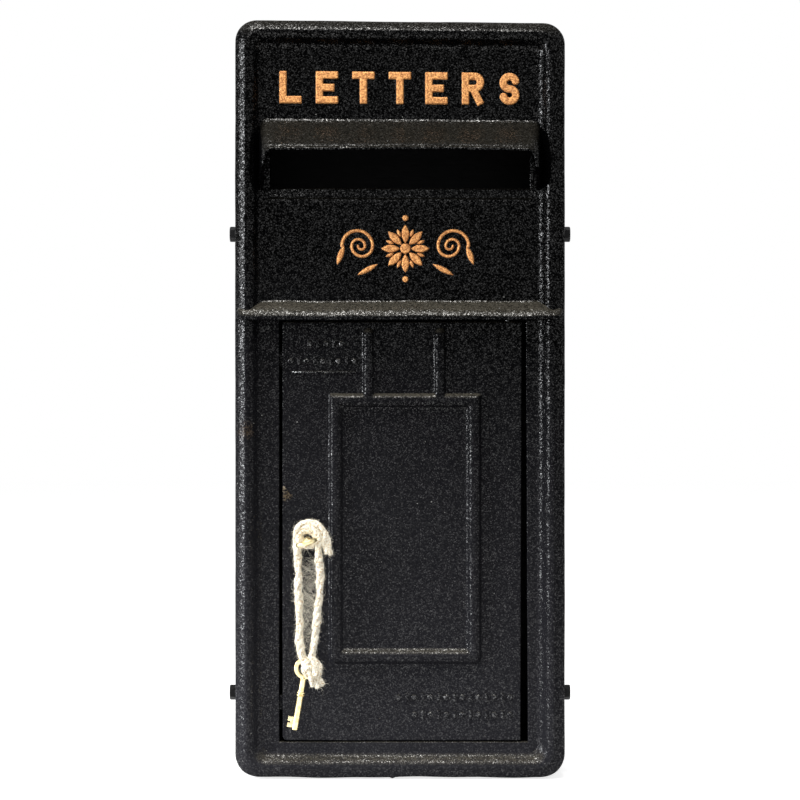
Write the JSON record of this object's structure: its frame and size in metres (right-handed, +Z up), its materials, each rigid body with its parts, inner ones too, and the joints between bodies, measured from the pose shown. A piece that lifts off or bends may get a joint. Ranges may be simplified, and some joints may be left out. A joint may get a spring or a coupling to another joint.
{
  "type": "letter box",
  "caption": "Wall letter box with a cast front, hooded posting slot, hinged door with lock and key, and a sheet-steel back box.",
  "frame": {"origin": "centre of the four wall-screw holes, in the plane of the wall", "axes": "+X to the right as seen from the front, +Y into the wall, +Z up along the box's height"},
  "size_m": [0.258, 0.1743, 0.57],
  "materials": {
    "black_casting": "thick satin black paint over a grainy casting",
    "gold_paint": "brushed-on gold paint",
    "black_sheet": "satin black paint on sheet steel",
    "black_bolt": "blackened steel",
    "zinc_steel": "zinc plated",
    "brass": "worn pale brass",
    "twine": "soft fuzzy cream twine"
  },
  "bodies": {
    "box": {"front_casting": "black_casting", "box_shell": "black_sheet", "back_plate": "black_sheet", "side_bolts": "black_bolt", "side_washers": "black_bolt", "side_nuts": "zinc_steel", "upper_hinge_pin": "zinc_steel", "lower_hinge_pin": "zinc_steel"},
    "door": {"door": "black_casting", "lock_case": "zinc_steel", "lock_cover": "zinc_steel", "lock_screws": "zinc_steel", "cover_screws": "zinc_steel", "lock_spring": "zinc_steel", "upper_knot": "twine", "key_string_left": "twine", "key_string_right": "twine", "lower_knot": "twine", "spare_key": "brass"},
    "lock_bolt": {"lock_bolt": "brass"},
    "key": {"key": "brass"}
  },
  "joints": [
    {"name": "door_hinge", "type": "hinge", "parent": "box", "child": "door", "pos_m": [0.0811, -0.1283, 0], "axis": [0, 0, 1], "range_deg": [0, 100]},
    {"name": "key_turn", "type": "hinge", "parent": "door", "child": "key", "pos_m": [-0.069, -0.137, -0.1061], "axis": [0, 1, 0], "range_deg": [0, 107]},
    {"name": "bolt_slide", "type": "slide", "parent": "door", "child": "lock_bolt", "axis": [-1, 0, 0], "range_m": [0, 0.006]}
  ],
  "couplings": [
    {"joint": "key_turn", "follows": "bolt_slide", "rad_per_m": 311.25}
  ]
}
